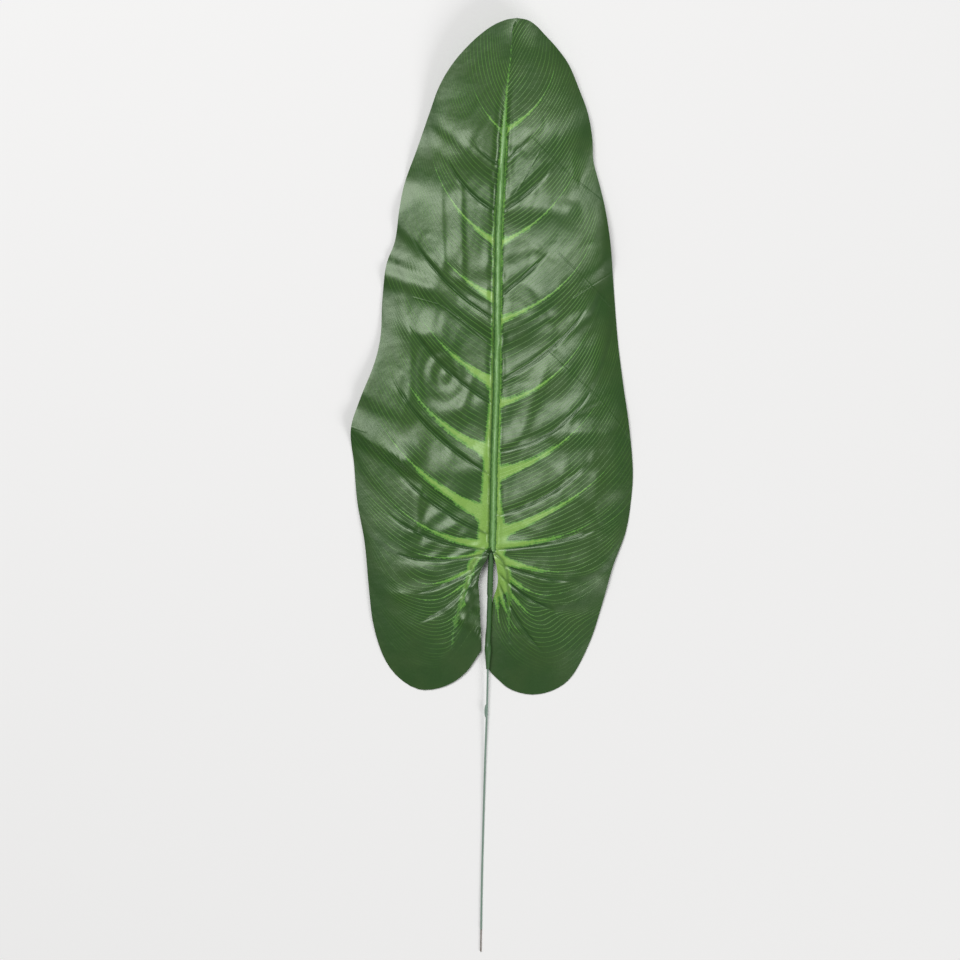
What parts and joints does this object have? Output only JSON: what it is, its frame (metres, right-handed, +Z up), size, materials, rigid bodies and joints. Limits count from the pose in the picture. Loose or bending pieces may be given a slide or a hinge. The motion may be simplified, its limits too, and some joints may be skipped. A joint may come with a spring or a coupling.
{
  "type": "artificial anthurium leaf",
  "caption": "Large heart-shaped artificial leaf with waved margins, pressed veins and a coated wire stem, lying face up.",
  "frame": {"origin": "middle of the box, on the surface that the leaf lies on", "axes": "+Y along the leaf towards its tip, +X to the right seen from above with the tip away, +Z up out of the leaf's face"},
  "size_m": [0.2541, 0.8374, 0.0227],
  "materials": {
    "printed_cloth": "printed cloth with a satin coating, light green veins on dark green",
    "moulded_rib": "satin moulded plastic, dark green",
    "wire_coat": "satin plastic coat, grey green",
    "bare_wire": "dull drawn steel"
  },
  "bodies": {
    "root": {"leaf_blade": "printed_cloth", "rib_frame": "moulded_rib", "wire_coating": "wire_coat", "wire_core": "bare_wire"}
  },
  "joints": []
}
